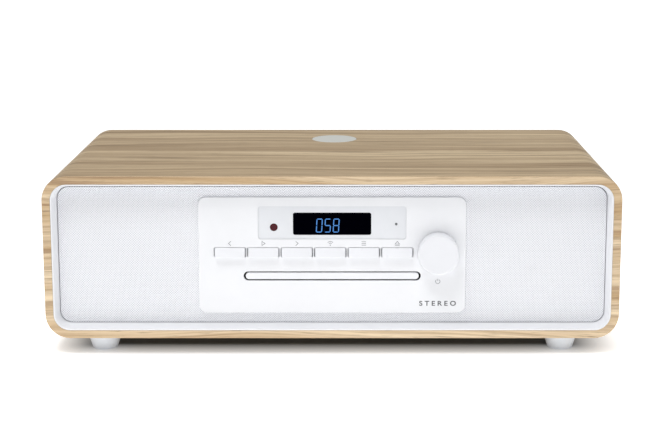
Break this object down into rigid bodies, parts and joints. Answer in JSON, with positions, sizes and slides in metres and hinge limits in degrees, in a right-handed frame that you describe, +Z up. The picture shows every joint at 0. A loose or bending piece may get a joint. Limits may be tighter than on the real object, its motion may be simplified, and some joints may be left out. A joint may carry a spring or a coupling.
{
  "type": "mini hifi system",
  "caption": "Wood-wrapped one-box mini hifi with a white trim, cloth grille, control panel, display, wedge keys, volume knob and CD tray, on short feet.",
  "frame": {"origin": "centre of the footprint, on the surface the feet stand on", "axes": "+X to the right of someone facing the front, +Y to the back, +Z up; the front faces -Y"},
  "size_m": [0.42, 0.216, 0.1335],
  "materials": {
    "wood_veneer": "satin",
    "baffle_board": "matte",
    "white_plastic": "satin",
    "key_plastic": "satin",
    "knob_plastic": "satin",
    "grille_cloth": "matte",
    "bezel_plastic": "matte",
    "display_black": "gloss",
    "filter_red": "gloss",
    "indicator_grey": "gloss",
    "foot_plastic": "satin",
    "pad_plastic": "matte",
    "black_plastic": "matte",
    "tray_plastic": "matte",
    "gear_plastic": "satin",
    "steel": "brushed",
    "basket_steel": "satin",
    "ferrite": "matte",
    "cone_paper": "matte",
    "surround_rubber": "matte",
    "cap_aluminium": "satin",
    "copper_coil": "satin",
    "circuit_board": "satin"
  },
  "bodies": {
    "root": {"aerial_socket": "steel", "aux_jack": "black_plastic", "cabinet_shell": "wood_veneer", "clamp_bridge": "steel", "control_board": "circuit_board", "control_panel": "white_plastic", "display_bezel": "bezel_plastic", "display_lens": "display_black", "display_module": "black_plastic", "driver_screws": "steel", "encoder_body": "black_plastic", "feet": "foot_plastic", "foot_screws": "steel", "front_baffle": "baffle_board", "front_trim": "white_plastic", "grille_frame": "black_plastic", "guide_rods": "steel", "indicator_light": "indicator_grey", "infrared_window": "filter_red", "left_basket": "basket_steel", "left_bass_port": "black_plastic", "left_magnet": "ferrite", "loader_chassis": "black_plastic", "loading_motor": "steel", "main_board": "circuit_board", "mains_inlet": "black_plastic", "power_supply": "circuit_board", "rear_panel": "baffle_board", "rear_screws": "steel", "right_basket": "basket_steel", "right_bass_port": "black_plastic", "right_magnet": "ferrite", "speaker_grille": "grille_cloth", "spindle_motor": "steel", "tact_switches": "black_plastic", "top_pad": "pad_plastic", "traverse_deck": "steel"},
    "tray": {"cd_tray": "tray_plastic", "tray_door": "white_plastic"},
    "tray_gear": {"tray_gear": "gear_plastic"},
    "turntable": {"turntable": "black_plastic"},
    "clamp_puck": {"clamp_puck": "black_plastic"},
    "pickup": {"optical_pickup": "black_plastic"},
    "encoder_plunger": {"encoder_plunger": "gear_plastic"},
    "knob": {"volume_knob": "knob_plastic", "encoder_shaft": "steel"},
    "left_cone": {"left_cone": "cone_paper", "left_dust_cap": "cap_aluminium", "left_voice_coil": "copper_coil", "left_surround": "surround_rubber"},
    "right_cone": {"right_cone": "cone_paper", "right_dust_cap": "cap_aluminium", "right_voice_coil": "copper_coil", "right_surround": "surround_rubber"},
    "key_previous": {"key_previous": "key_plastic"},
    "key_play": {"key_play": "key_plastic"},
    "key_next": {"key_next": "key_plastic"},
    "key_pairing": {"key_pairing": "key_plastic"},
    "key_menu": {"key_menu": "key_plastic"},
    "key_eject": {"key_eject": "key_plastic"}
  },
  "joints": [
    {"name": "tray_slide", "type": "slide", "parent": "root", "child": "tray", "axis": [0, -1, 0], "range_m": [0, 0.135]},
    {"name": "tray_gear_turn", "type": "hinge", "parent": "root", "child": "tray_gear", "pos_m": [0.05395, -0.068, 0.0551], "axis": [0, 0, -1], "range_deg": [0, 1300]},
    {"name": "turntable_spin", "type": "hinge", "parent": "root", "child": "turntable", "pos_m": [0, -0.032, 0.0511], "axis": [0, 0, 1], "continuous": true},
    {"name": "clamp_spin", "type": "hinge", "parent": "root", "child": "clamp_puck", "pos_m": [0, -0.032, 0.0621], "axis": [0, 0, 1], "continuous": true},
    {"name": "pickup_slide", "type": "slide", "parent": "root", "child": "pickup", "axis": [0, 1, 0], "range_m": [0, 0.033]},
    {"name": "key_previous_press", "type": "slide", "parent": "root", "child": "key_previous", "axis": [0, 1, 0], "range_m": [0, 0.0008], "stiffness_N_per_m": 1200},
    {"name": "key_play_press", "type": "slide", "parent": "root", "child": "key_play", "axis": [0, 1, 0], "range_m": [0, 0.0008], "stiffness_N_per_m": 1200},
    {"name": "key_next_press", "type": "slide", "parent": "root", "child": "key_next", "axis": [0, 1, 0], "range_m": [0, 0.0008], "stiffness_N_per_m": 1200},
    {"name": "key_pairing_press", "type": "slide", "parent": "root", "child": "key_pairing", "axis": [0, 1, 0], "range_m": [0, 0.0008], "stiffness_N_per_m": 1200},
    {"name": "key_menu_press", "type": "slide", "parent": "root", "child": "key_menu", "axis": [0, 1, 0], "range_m": [0, 0.0008], "stiffness_N_per_m": 1200},
    {"name": "key_eject_press", "type": "slide", "parent": "root", "child": "key_eject", "axis": [0, 1, 0], "range_m": [0, 0.0008], "stiffness_N_per_m": 1200},
    {"name": "knob_press", "type": "slide", "parent": "root", "child": "encoder_plunger", "axis": [0, 1, 0], "range_m": [0, 0.0006], "stiffness_N_per_m": 4000},
    {"name": "knob_turn", "type": "hinge", "parent": "encoder_plunger", "child": "knob", "pos_m": [0.0775, -0.104, 0.0756], "axis": [0, 1, 0], "continuous": true},
    {"name": "left_cone_excursion", "type": "slide", "parent": "root", "child": "left_cone", "axis": [0, -1, 0], "range_m": [-0.0015, 0.0015], "stiffness_N_per_m": 1500, "deforming": ["left_surround"]},
    {"name": "right_cone_excursion", "type": "slide", "parent": "root", "child": "right_cone", "axis": [0, -1, 0], "range_m": [-0.0015, 0.0015], "stiffness_N_per_m": 1500, "deforming": ["right_surround"]}
  ],
  "couplings": [
    {"joint": "tray_gear_turn", "follows": "tray_slide", "rad_per_m": 166.67},
    {"joint": "clamp_spin", "follows": "turntable_spin", "ratio": 1}
  ]
}
